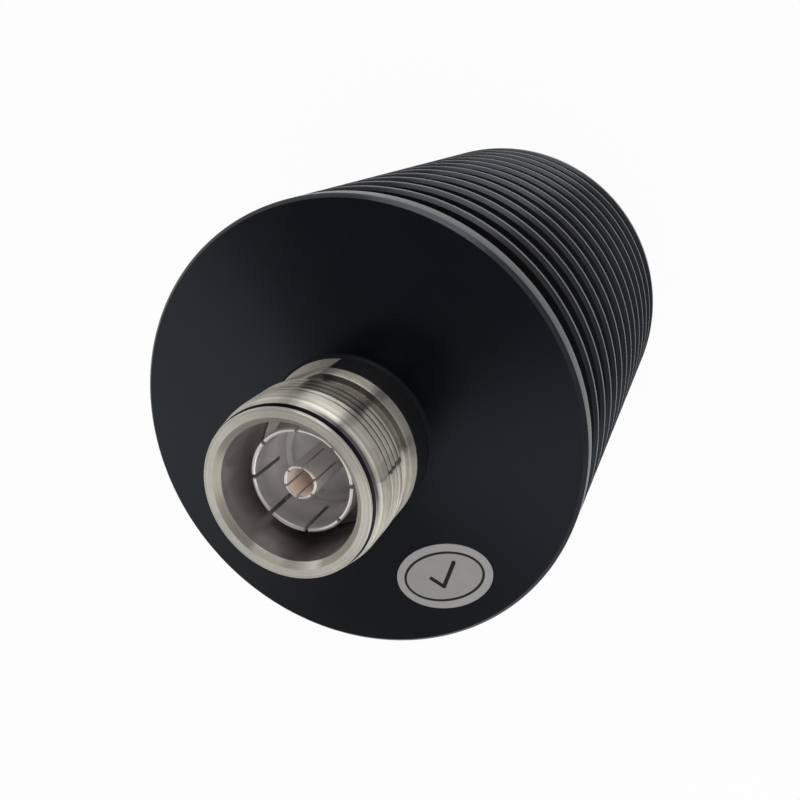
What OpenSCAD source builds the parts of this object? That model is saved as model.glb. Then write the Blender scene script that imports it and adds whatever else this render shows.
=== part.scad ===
// RF dummy load: a finned coaxial termination that stands on its rear face, coupling up.
// The heat sink is turned from one bar. A screw coupling in its neck leads to a film resistor on a
// ceramic rod, which sits in a tapered outer conductor at the bottom of a blind bore.

/* [Heat sink] */
// Diameter across the fins
body_d = 57; // [52:0.5:64]
// Length from the rear face to the front face
body_len = 72; // [66:0.5:90]
// Diameter of the core that the fins stand on
core_d = 32; // [28:0.5:40]
// Number of thin fins between the two end plates
fin_count = 12; // [6:1:14]
// Thickness of a thin fin
fin_t = 1.1; // [0.8:0.1:1.6]
// Thickness of the front plate
front_plate_t = 2.7; // [2:0.1:4]
// Thickness of the rear plate
rear_plate_t = 1.5; // [1.2:0.1:4]
// Chamfer on the front plate's front edge
front_chamfer = 0.45; // [0.2:0.05:0.9]
// Edge break on the fins and on the rear plate
edge_break = 0.15; // [0.05:0.05:0.3]

/* [Neck] */
// Diameter of the neck that carries the coupling
neck_d = 20.7; // [20.4:0.1:22]
// Height of the neck above the front face
neck_h = 4.3; // [3.5:0.1:6]
// Radius of the cove where the neck meets the front face
neck_cove = 0.4; // [0.2:0.1:0.8]
// Width across the two wrench flats that cut the neck and the collar
flat_af = 19; // [18.8:0.1:19.6]
// Direction that the first wrench flat faces, counted from +X
flat_angle = 106; // [0:1:180]
// Height of the shoulder where the flats end, above the front face
flat_shoulder = 0.95; // [0.6:0.05:2]

/* [Coupling] */
// Diameter of the collar that seats on the neck
collar_d = 20.6; // [20.2:0.1:21]
// Width of the collar
collar_t = 2.1; // [1.5:0.1:3]
// Diameter of the thread relief
relief_d = 18.9; // [18.4:0.1:19.2]
// Width of the thread relief
relief_w = 2.3; // [1:0.1:3]
// Outside diameter of the coupling thread, which the source leaves plain, and of the pilot
thread_d = 20.7; // [20.2:0.05:20.9]
// Length of the coupling thread
thread_len = 4.3; // [3:0.1:7]
// Length of the plain pilot in front of the thread
pilot_len = 3.1; // [2.6:0.1:4.6]
// Length of the taper that leads the nut on to the pilot
lead_len = 2.1; // [1:0.1:2.5]
// Diameter at that taper's front edge
lead_d = 19.9; // [19.6:0.1:20.1]
// Width of the groove behind the lip
groove_w = 0.45; // [0.4:0.05:0.8]
// Diameter at the bottom of that groove
groove_d = 18.2; // [17.8:0.1:18.8]
// Diameter of the lip
lip_d = 19.5; // [19:0.1:19.8]
// Thickness of the lip
lip_t = 0.55; // [0.4:0.05:1]
// Diameter of the mouth
mouth_d = 16; // [15.6:0.1:16.8]
// Depth of the mouth below the lip
mouth_depth = 10.4; // [9.4:0.1:11.4]
// Chamfer at the mouth's edge
mouth_chamfer = 0.7; // [0.3:0.05:0.75]
// Thread diameter of the spigot that screws into the neck
spigot_d = 16; // [15.2:0.1:16.4]
// Length of the spigot below the collar
spigot_len = 10; // [8:0.5:12]
// Bore of the air line through the coupling
line_d = 10; // [9.4:0.1:10.4]

/* [Contacts] */
// Outside diameter of the slotted outer contact
ring_d = 12.3; // [11.8:0.1:12.8]
// Wall of the slotted outer contact
ring_wall = 0.52; // [0.4:0.02:0.6]
// Depth of the outer contact's tip below the lip
ring_recess = 4; // [3.4:0.1:5.4]
// Diameter of the outer contact's foot
foot_d = 13.6; // [13.2:0.1:14]
// Length of the foot below the mouth's floor
foot_len = 4.5; // [4:0.1:5]
// Number of slots in the outer contact
ring_slots = 8; // [4:1:12]
// Width of those slots
ring_slot_w = 0.5; // [0.3:0.05:0.7]
// Direction of the first slot, counted from +X
ring_slot_angle = 39; // [0:1:90]
// Height of solid wall left between the mouth's floor and those slots
ring_slot_foot = 0.3; // [0.1:0.1:2]
// Outside diameter of the centre contact's socket
pin_d = 4; // [3.8:0.05:4.2]
// Bore of the socket
socket_d = 3.16; // [2.9:0.02:3.2]
// Depth of the socket
socket_depth = 7.5; // [6:0.5:8]
// Depth of the socket's tip below the lip
pin_recess = 3.7; // [2.9:0.1:4.4]
// Number of slots in the socket
pin_slots = 6; // [3:1:6]
// Width of those slots
pin_slot_w = 0.28; // [0.2:0.02:0.34]
// Depth of those slots
pin_slot_depth = 5.5; // [3:0.5:6]
// Direction of the first slot, counted from +X
pin_slot_angle = 8.6; // [0:0.2:60]
// Waist of the centre contact where the bead grips it
waist_d = 3.2; // [2.8:0.1:3.6]
// Thickness of the bead that carries the centre contact
bead_t = 2.6; // [2:0.1:3]
// Thickness of the ring that keeps the bead in place
bead_ring_t = 1; // [0.6:0.1:1.2]
// Width of that ring's section
bead_ring_w = 0.8; // [0.5:0.1:1.2]

/* [Termination] */
// Diameter of the blind bore that holds the termination
bore_d = 14; // [13.8:0.1:14.8]
// Solid metal left behind the blind bore
rear_wall = 14; // [8:0.5:18]
// Inner conductor of the air line
inner_d = 4.3; // [4.1:0.1:4.5]
// Pin at the centre contact's rear end
tail_d = 2.4; // [2:0.1:2.8]
// Length of that pin
tail_len = 6; // [4:0.5:7]
// Height above the spigot's end at which that pin starts
tail_rise = 3; // [2:0.5:3]
// Diameter of the resistor rod
rod_d = 5; // [4.6:0.1:5]
// Line impedance that the taper starts from, in ohms
line_ohm = 50; // [46:1:50]
// Wall of the input cap round the rod
cap_wall = 0.4; // [0.3:0.05:0.5]
// Depth of the input cap over the rod's end
cap_depth = 4; // [3:0.5:5]
// Solid metal between the tail pin and the rod
cap_web = 1.2; // [0.8:0.1:2]
// Thickness of the ground cap's flange
ground_t = 3; // [2:0.5:5]
// Solid metal under the rod in the ground cap
ground_web = 1; // [0.6:0.1:1.4]
// Thickness of the heat-conducting foil under the ground cap
foil_t = 0.2; // [0.1:0.05:0.4]
// Free height of the spring washer under the spigot
washer_h = 0.9; // [0.8:0.1:1.2]
// Sheet thickness of the spring washer
washer_t = 0.4; // [0.3:0.05:0.5]
// Thickness of the bead that centres the input cap
line_bead_t = 2; // [1:0.1:2.5]
// Width of the step in the liner that this bead sits on
line_bead_step = 0.6; // [0.4:0.1:0.7]

/* [Seal and sticker] */
// Cord diameter of the seal under the collar
seal_cord = 0.9; // [0.8:0.05:1]
// Share of the cord's height that is left when the seal is squeezed
seal_squeeze = 0.8; // [0.7:0.05:0.9]
// Long axis of the oval sticker
sticker_w = 12.9; // [10:0.1:14]
// Short axis of the oval sticker
sticker_h = 8.8; // [7:0.1:10]
// Thickness of the sticker
sticker_t = 0.1; // [0.05:0.05:0.2]
// Distance of the sticker's centre from the rim of the front face
sticker_inset = 7.8; // [7:0.1:9]
// Direction of the sticker's centre from the axis, counted from +X
sticker_angle = -61.8; // [-180:0.2:180]
// Turn of the sticker on the face
sticker_turn = 14.5; // [-20:0.5:30]

/* [Hidden] */
$fn = 96;

// Radial gap in every fit, room between ends that must not meet, and what a cut runs past its face
gap = 0.02;
end_gap = 0.2;
over = 1;

// Impedance of free space over a full turn, which links a coaxial line's two radii
free_ohm = 59.96;

// Heights of the heat sink and of the neck
body_r = body_d / 2;
fin_groove = (body_len - front_plate_t - rear_plate_t - fin_count * fin_t) / (fin_count + 1);
fin_pitch = fin_groove + fin_t;
neck_top = body_len + neck_h;

// Heights of the coupling, from the collar up to the lip
collar_top = neck_top + collar_t;
relief_top = collar_top + relief_w;
thread_top = relief_top + thread_len;
pilot_top = thread_top + pilot_len;
groove_top = pilot_top + groove_w;
lip_top = groove_top + lip_t;
mouth_floor = lip_top - mouth_depth;
seat_floor = mouth_floor - foot_len;
spigot_end = neck_top - spigot_len;

// Contacts and the bead between them
ring_tip = lip_top - ring_recess;
ring_inner_r = ring_d / 2 - ring_wall;
pin_tip = lip_top - pin_recess;
bead_top = seat_floor + bead_t;
tail_top = spigot_end + tail_rise;
tail_end = tail_top - tail_len;

// Termination, from the blind bore's floor up to the spring washer
bore_floor = rear_wall;
ground_floor = bore_floor + foil_t;
ground_top = ground_floor + ground_t;
liner_top = spigot_end - washer_h;
liner_r = bore_d / 2 - gap;
cap_top = tail_top - end_gap;
cup_floor = tail_end - cap_web;
rod_top = cup_floor;
rod_floor = ground_floor + ground_web;
rod_r = rod_d / 2;
cap_r = rod_r + gap + cap_wall;
taper_r = rod_r * exp(line_ohm / free_ohm);
taper_top = cup_floor - cap_depth;
line_bead_r = taper_r + line_bead_step;
taper_steps = 24;

// Seal seat in the top of the neck
seal_h = seal_cord * seal_squeeze;
seal_r = spigot_d / 2 + seal_cord / 2 + gap;
seal_seat_r = seal_r + seal_cord / 2 + gap;

// Points of a quarter cove that is hollow outwards, from the face up to the wall
function cove(r, z, radius, steps = 8) =
    [for (i = [0 : steps])
        let (a = 90 * i / steps)
        [r + radius - radius * sin(a), z + radius - radius * cos(a)]];

// Outline of one fin or plate between two heights, with broken edges
function fin_edge(z0, z1) =
    [[core_d / 2, z0],
     [body_r - edge_break, z0],
     [body_r, z0 + edge_break],
     [body_r, z1 - edge_break],
     [body_r - edge_break, z1],
     [core_d / 2, z1]];

// Height of the lower face of one thin fin, counted from the rear
function fin_floor(i) = rear_plate_t + fin_groove + i * fin_pitch;

// Radius of the tapered bore, where the line's impedance falls evenly to a short at the ground cap
function taper_at(s) = rod_r * exp(line_ohm / free_ohm * s) + (cap_r + end_gap - rod_r) * (1 - s);

module tube(r_out, r_in, z0, z1) {
    rotate_extrude()
        translate([r_in, z0])
            square([r_out - r_in, z1 - z0]);
}

module disc(r, z0, z1) {
    translate([0, 0, z0])
        cylinder(r = r, h = z1 - z0);
}

// Slots cut down from a tip, evenly round the axis
module slots(count, width, first, reach, z0, z1) {
    for (i = [0 : count - 1])
        rotate([0, 0, first + i * 360 / count])
            translate([0, -width / 2, z0])
                cube([reach, width, z1 - z0 + over]);
}

// What the two wrench flats take away, from their shoulder to the top of the collar
module wrench_flats() {
    for (side = [0, 180])
        rotate([0, 0, flat_angle + side])
            translate([flat_af / 2, -neck_d / 2, body_len + flat_shoulder])
                cube([neck_d, neck_d, collar_top - body_len - flat_shoulder]);
}

// Finned body and neck, turned from one bar
module heat_sink() {
    thin_fins = [for (i = [0 : fin_count - 1])
        each fin_edge(fin_floor(i), fin_floor(i) + fin_t)];
    front_floor = body_len - front_plate_t;
    profile = concat(
        [[0, 0],
         [body_r - edge_break, 0],
         [body_r, edge_break],
         [body_r, rear_plate_t - edge_break],
         [body_r - edge_break, rear_plate_t],
         [core_d / 2, rear_plate_t]],
        thin_fins,
        [[core_d / 2, front_floor],
         [body_r - edge_break, front_floor],
         [body_r, front_floor + edge_break],
         [body_r, body_len - front_chamfer],
         [body_r - front_chamfer, body_len]],
        cove(neck_d / 2, body_len, neck_cove),
        [[neck_d / 2, neck_top],
         [seal_seat_r, neck_top],
         [seal_seat_r, neck_top - seal_h],
         [spigot_d / 2 + gap, neck_top - seal_h],
         [spigot_d / 2 + gap, spigot_end],
         [bore_d / 2, spigot_end],
         [bore_d / 2, bore_floor],
         [0, bore_floor]]);
    color([0.11, 0.115, 0.125])
        difference() {
            rotate_extrude()
                polygon(profile);
            wrench_flats();
        }
}

// Coupling half: spigot, collar, relief, thread, pilot, groove and lip round the mouth
module connector_body() {
    mouth_r = mouth_d / 2;
    profile = [
        [line_d / 2, spigot_end],
        [spigot_d / 2, spigot_end],
        [spigot_d / 2, neck_top],
        [collar_d / 2, neck_top],
        [collar_d / 2, collar_top - edge_break],
        [collar_d / 2 - edge_break, collar_top],
        [relief_d / 2, collar_top],
        [relief_d / 2, relief_top],
        [thread_d / 2, relief_top],
        [thread_d / 2, pilot_top - lead_len],
        [lead_d / 2, pilot_top],
        [groove_d / 2, pilot_top],
        [groove_d / 2, groove_top],
        [lip_d / 2, groove_top],
        [lip_d / 2, lip_top - edge_break],
        [lip_d / 2 - edge_break, lip_top],
        [mouth_r + mouth_chamfer, lip_top],
        [mouth_r, lip_top - mouth_chamfer],
        [mouth_r, mouth_floor],
        [foot_d / 2 + gap, mouth_floor],
        [foot_d / 2 + gap, seat_floor],
        [line_d / 2, seat_floor]];
    color([0.70, 0.69, 0.64])
        difference() {
            rotate_extrude()
                polygon(profile);
            wrench_flats();
        }
}

// Springy ring that the mating plug's outer conductor presses into
module outer_contact() {
    tip_break = ring_wall / 4;
    profile = [
        [ring_inner_r, seat_floor],
        [foot_d / 2, seat_floor],
        [foot_d / 2, mouth_floor],
        [ring_d / 2, mouth_floor],
        [ring_d / 2, ring_tip - tip_break],
        [ring_d / 2 - tip_break, ring_tip],
        [ring_inner_r + tip_break, ring_tip],
        [ring_inner_r, ring_tip - tip_break]];
    color([0.74, 0.73, 0.69])
        difference() {
            rotate_extrude()
                polygon(profile);
            slots(ring_slots, ring_slot_w, ring_slot_angle, foot_d, mouth_floor + ring_slot_foot, ring_tip);
        }
}

// Slotted socket, waist for the bead, air line's inner conductor and tail pin
module centre_contact() {
    socket_floor = pin_tip - socket_depth;
    tip_break = (pin_d - socket_d) / 8;
    profile = [
        [0, tail_end],
        [tail_d / 2, tail_end],
        [tail_d / 2, tail_top],
        [inner_d / 2, tail_top],
        [inner_d / 2, seat_floor],
        [waist_d / 2, seat_floor],
        [waist_d / 2, bead_top],
        [pin_d / 2, bead_top],
        [pin_d / 2, pin_tip - tip_break],
        [pin_d / 2 - tip_break, pin_tip],
        [socket_d / 2 + tip_break, pin_tip],
        [socket_d / 2, pin_tip - tip_break],
        [socket_d / 2, socket_floor],
        [0, socket_floor]];
    color([0.72, 0.66, 0.58])
        difference() {
            rotate_extrude()
                polygon(profile);
            slots(pin_slots, pin_slot_w, pin_slot_angle, pin_d, pin_tip - pin_slot_depth, pin_tip);
        }
}

// Bead that holds the centre contact by its waist
module front_bead() {
    color([0.92, 0.92, 0.90])
        tube(ring_inner_r - gap, waist_d / 2 + gap, seat_floor, bead_top);
}

// Ring pressed in over the bead
module bead_ring() {
    outer_r = ring_inner_r - gap;
    color([0.70, 0.69, 0.64])
        tube(outer_r, outer_r - bead_ring_w, bead_top, bead_top + bead_ring_t);
}

// Squeezed seal between the collar and the neck
module neck_seal() {
    color([0.06, 0.06, 0.06])
        rotate_extrude()
            translate([seal_r, neck_top - seal_h / 2])
                intersection() {
                    circle(d = seal_cord, $fn = 48);
                    square([2 * seal_cord, seal_h], center = true);
                }
}

// Coned spring washer that the spigot presses on the liner
module spring_washer() {
    rim = liner_r - 0.1;
    eye = line_d / 2 + 0.1;
    land = 0.3;
    profile = [
        [rim, liner_top],
        [rim, liner_top + washer_t],
        [eye + land, spigot_end],
        [eye, spigot_end],
        [eye, spigot_end - washer_t],
        [rim - land, liner_top]];
    color([0.62, 0.63, 0.65])
        rotate_extrude()
            polygon(profile);
}

// Outer conductor of the termination, with its bore tapered to the ground end
module taper_liner() {
    bead_floor = liner_top - line_bead_t;
    taper = [for (i = [0 : taper_steps])
        let (s = 1 - i / taper_steps)
        [taper_at(s), ground_top + (taper_top - ground_top) * s]];
    profile = concat(
        [[liner_r, ground_top],
         [liner_r, liner_top],
         [line_bead_r, liner_top],
         [line_bead_r, bead_floor],
         [taper_r, bead_floor]],
        taper);
    color([0.78, 0.66, 0.36])
        rotate_extrude()
            polygon(profile);
}

// Bead that centres the input cap in the liner
module line_bead() {
    color([0.92, 0.92, 0.90])
        tube(line_bead_r - gap, inner_d / 2 + gap, liner_top - line_bead_t, liner_top);
}

// Cap on the rod's live end, with a slotted socket for the tail pin
module input_cap() {
    profile = [
        [tail_d / 2 + gap, tail_end - gap],
        [tail_d / 2 + gap, cap_top],
        [inner_d / 2, cap_top],
        [inner_d / 2, cup_floor + cap_web / 2],
        [cap_r, cup_floor],
        [cap_r, cup_floor - cap_depth],
        [rod_r + gap, cup_floor - cap_depth],
        [rod_r + gap, cup_floor],
        [0, cup_floor],
        [0, tail_end - gap]];
    color([0.78, 0.66, 0.36])
        difference() {
            rotate_extrude()
                polygon(profile);
            slots(4, pin_slot_w, 45, inner_d, cap_top - tail_len / 2, cap_top);
        }
}

// Ceramic rod that carries the resistive film
module resistor_rod() {
    color([0.33, 0.36, 0.34])
        disc(rod_r, rod_floor, rod_top);
}

// Cap that grounds the rod and leads its heat into the heat sink
module ground_cap() {
    profile = [
        [0, ground_floor],
        [liner_r, ground_floor],
        [liner_r, ground_top],
        [rod_r + gap, ground_top],
        [rod_r + gap, rod_floor],
        [0, rod_floor]];
    color([0.72, 0.43, 0.28])
        rotate_extrude()
            polygon(profile);
}

// Soft foil between the ground cap and the floor of the bore
module thermal_foil() {
    color([0.55, 0.56, 0.58])
        disc(liner_r, bore_floor, ground_floor);
}

// Oval sticker on the front face, left without lettering
module inspection_sticker() {
    points = 72;
    sticker_r = body_r - sticker_inset;
    outline = [for (i = [0 : points - 1])
        let (a = 360 * i / points)
        [sticker_w / 2 * cos(a), sticker_h / 2 * sin(a)]];
    color([0.66, 0.67, 0.66])
        translate([sticker_r * cos(sticker_angle), sticker_r * sin(sticker_angle), body_len])
            rotate([0, 0, sticker_turn])
                linear_extrude(sticker_t)
                    polygon(outline);
}

heat_sink();
connector_body();
outer_contact();
centre_contact();
front_bead();
bead_ring();
neck_seal();
spring_washer();
taper_liner();
line_bead();
input_cap();
resistor_rod();
ground_cap();
thermal_foil();
inspection_sticker();
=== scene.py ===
"""Finned dummy load: the dressed model of a coaxial termination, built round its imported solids.

Every size is in metres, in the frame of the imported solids: the body stands on its rear face, Z runs
along its axis and out of the coupling, and X points to the right of the photographed view.
"""

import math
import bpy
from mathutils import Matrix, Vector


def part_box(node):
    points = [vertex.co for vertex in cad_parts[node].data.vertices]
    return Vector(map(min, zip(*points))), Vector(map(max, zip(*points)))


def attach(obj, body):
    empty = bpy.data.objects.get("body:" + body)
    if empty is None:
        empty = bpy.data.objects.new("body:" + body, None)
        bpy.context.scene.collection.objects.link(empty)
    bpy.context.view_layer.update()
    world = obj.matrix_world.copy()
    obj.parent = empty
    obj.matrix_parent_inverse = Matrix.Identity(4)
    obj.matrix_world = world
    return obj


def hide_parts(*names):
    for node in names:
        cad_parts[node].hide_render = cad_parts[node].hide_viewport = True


bl_info = {
    "name": "Finned Dummy Load",
    "version": (1, 0, 0),
    "blender": (4, 5, 0),
    "location": "View3D > Sidebar > Dummy Load",
    "description": "Builds the finned body, coupling, contacts and sticker of a coaxial dummy load",
    "category": "Add Mesh",
}

from functools import reduce
from types import SimpleNamespace

import bmesh
import bpy
import numpy as np
from bpy.props import FloatProperty, FloatVectorProperty, IntProperty, PointerProperty
from bpy.types import Operator, Panel, PropertyGroup
from mathutils import Vector

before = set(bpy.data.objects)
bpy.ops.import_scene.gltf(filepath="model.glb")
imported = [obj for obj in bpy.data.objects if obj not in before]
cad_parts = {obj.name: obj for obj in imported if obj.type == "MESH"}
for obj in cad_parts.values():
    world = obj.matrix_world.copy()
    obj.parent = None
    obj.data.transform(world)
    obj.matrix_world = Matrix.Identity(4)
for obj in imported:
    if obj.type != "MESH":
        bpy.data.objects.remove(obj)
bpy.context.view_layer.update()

MM = 0.001
SINK_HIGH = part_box("heat_sink")[1]
COUPLING_LOW, COUPLING_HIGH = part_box("connector_body")
RING_LOW, RING_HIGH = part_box("outer_contact")
SOCKET_LOW, SOCKET_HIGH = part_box("centre_contact")
BEAD_LOW, BEAD_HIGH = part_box("front_bead")
KEEPER_LOW, KEEPER_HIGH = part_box("bead_ring")
STICKER_LOW, STICKER_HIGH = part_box("inspection_sticker")

# Radial clearance in every fit of the solids.
FIT = 0.02 * MM

# How far a painted border is set off the edge it follows, in millimetres: closely, or loosely.
HAIR = 0.02
LOOSE = 0.05

# Points closer than this are one, edges shorter than this go, and sharper edges than this show.
SAME_POINT = 1e-7
NO_LENGTH = 1e-8
CREASE = math.radians(20.0)

# Steps round the axis of each surface of turning, and across one finger of each contact.
BODY_STEPS = 300
COUPLING_STEPS = 360
BEAD_STEPS = 160
STICKER_STEPS = 144
FLOOR_STEPS = 96
FLOOR_RINGS = 13
RING_STEPS = 22
SOCKET_STEPS = 16

# Light panels round the part, low down: direction in degrees from X and share of full light.
PANELS = (
    (-180, 0.48),
    (-140, 0.45),
    (-110, 0.54),
    (-75, 0.60),
    (-38, 0.62),
    (-11, 0.60),
    (34, 0.62),
    (52, 0.78),
    (84, 0.86),
    (146, 0.92),
    (160, 0.64),
    (180, 0.48),
)

# Patches of the room higher up: direction, spread and half of the edge in degrees, and colour.
PATCHES = (
    ((-0.64, -0.22, 0.73), 20, 12, (1.00, 1.00, 1.00)),
    ((-0.14, -0.36, 0.92), 12, 8, (0.90, 0.90, 0.90)),
    ((-0.38, -0.52, 0.77), 11, 7, (0.15, 0.15, 0.15)),
    ((-0.15, 0.74, 0.65), 22, 8, (0.10, 0.10, 0.11)),
    ((-0.12, 0.34, 0.93), 33.3, 3.5, (0.06, 0.062, 0.075)),
)

# Soft boxes: name, place, size and power.
LAMPS = (
    ("right_box", (0.33, -0.39, 0.42), 0.5, 0.8),
    ("top_box", (0.14, 0.55, 0.20), 0.4, 1.3),
)

# Painted dark reflections in columns down the coupling's wall: direction and half width in degrees,
# and depth.
DARK_REFLECTION_COLUMNS = (
    (113, 12.0, 0.25),
    (81, 3.0, 0.30),
    (44, 3.0, 0.45),
    (9.5, 4.0, 0.30),
)

# Ends and corner of the printed tick, in millimetres from the sticker's middle.
TICK = ((-1.7, 0.1), (-0.5, -1.3), (2.0, 1.6))


# Settings


def length(name, description, default):
    """A size in metres."""
    return FloatProperty(
        name=name,
        description=description,
        default=default,
        min=0.0,
        precision=5,
        subtype="DISTANCE",
        unit="LENGTH",
    )


def turn(name, description, degrees):
    """An angle, given in degrees."""
    return FloatProperty(
        name=name,
        description=description,
        default=math.radians(degrees),
        subtype="ANGLE",
        unit="ROTATION",
    )


def colour(name, description, default):
    """A linear colour."""
    return FloatVectorProperty(
        name=name,
        description=description,
        default=default,
        size=3,
        min=0.0,
        max=1.0,
        subtype="COLOR",
    )


def share(name, description, default):
    """A number from 0 to 1."""
    return FloatProperty(
        name=name, description=description, default=default, min=0.0, max=1.0, subtype="FACTOR"
    )


def number(name, description, default):
    """A plain number."""
    return FloatProperty(name=name, description=description, default=default)


def whole(name, description, default):
    """A whole number of like features."""
    return IntProperty(name=name, description=description, default=default, min=1)


class FinnedBodySettings(PropertyGroup):
    """Sizes and finish of the black body with its fins and neck."""

    radius: length("Radius", "Radius across the fins", SINK_HIGH.x)
    front: length("Front face", "Height of the front face", STICKER_LOW.z)
    core_radius: length("Core radius", "Radius of the core that carries the fins", 16 * MM)
    fin_count: whole("Fins", "Thin fins between the end plates", 12)
    fin_thickness: length("Fin thickness", "Thickness of one thin fin", 1.1 * MM)
    front_plate: length("Front plate", "Thickness of the front plate", 2.7 * MM)
    rear_plate: length("Rear plate", "Thickness of the rear plate", 1.5 * MM)
    front_chamfer: length("Front chamfer", "Chamfer on the front edge", 0.45 * MM)
    bevel_width: length("Bevel width", "Width of the bevel on a fin's front edge", 0.45 * MM)
    bevel_height: length("Bevel height", "Height of the bevel on a fin's front edge", 0.32 * MM)
    rim_round: length("Rim rounding", "Rounding on the fins' rims", 0.15 * MM)
    edge_round: length("Edge rounding", "Rounding on bevels and chamfers", 0.06 * MM)
    neck_round: length("Neck rounding", "Rounding on the neck's front edge", 0.03 * MM)
    neck_radius: length("Neck radius", "Radius of the neck under the coupling", 10.35 * MM)
    neck_top: length("Neck top", "Height of the neck's top face", SINK_HIGH.z)
    neck_cove: length("Neck cove", "Cove between neck and front face", 0.4 * MM)
    flat_offset: length("Flat offset", "Distance of a wrench flat from the axis", 9.5 * MM)
    flat_turn: turn("Flat direction", "Direction that one wrench flat faces", 106.0)
    flat_floor: length("Flat floor", "Height at which the wrench flats end", 72.95 * MM)
    seat_radius: length("Seal seat radius", "Radius of the seal's seat in the neck", 8.94 * MM)
    seat_depth: length("Seal seat depth", "Depth of that seat below the neck's top", 0.72 * MM)
    bore_radius: length("Bore radius", "Radius of the blind bore", 7.0 * MM)
    bore_floor: length("Bore floor", "Height of the blind bore's floor", 14.0 * MM)
    anodise: colour("Anodised", "Colour of the black anodised skin", (0.0017, 0.0018, 0.0026))
    sheen: colour("Sheen", "Tint of the skin's reflections", (0.78, 0.89, 1.0))
    gloss: share("Roughness", "Roughness of the black skin", 0.27)
    # Painted light: this colour, and the five settings after it, make the fins' rims, bevels and the
    # outer band of their faces lighter on the side the light comes from.
    lightened: colour("Rubbed skin", "Colour of the worn skin at the rims", (0.030, 0.030, 0.032))
    lit_turn: turn("Worn direction", "Direction in which the fins are rubbed most", 72.0)
    lit_spread: turn("Worn spread", "Angle over which the rubbing fades", 38.0)
    glint_turn: turn("Bevel direction", "Direction in which the bevels are rubbed most", 58.0)
    glint_spread: turn("Bevel spread", "Angle over which the bevels' rubbing fades", 15.0)
    glint_fade: turn("Bevel fade", "Angle over which their fainter rubbing fades", 60.0)
    # Painted light: the gaps between the fins are painted lighter below the first height and darker
    # above the second.
    gap_light_floor: length("Dust floor", "Height below which the gaps are dusty", 10 * MM)
    gap_light_top: length("Dust top", "Height above which the gaps are clean", 68 * MM)
    bare: colour("Bare metal", "Colour of the milled flats", (0.46, 0.43, 0.37))


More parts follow.
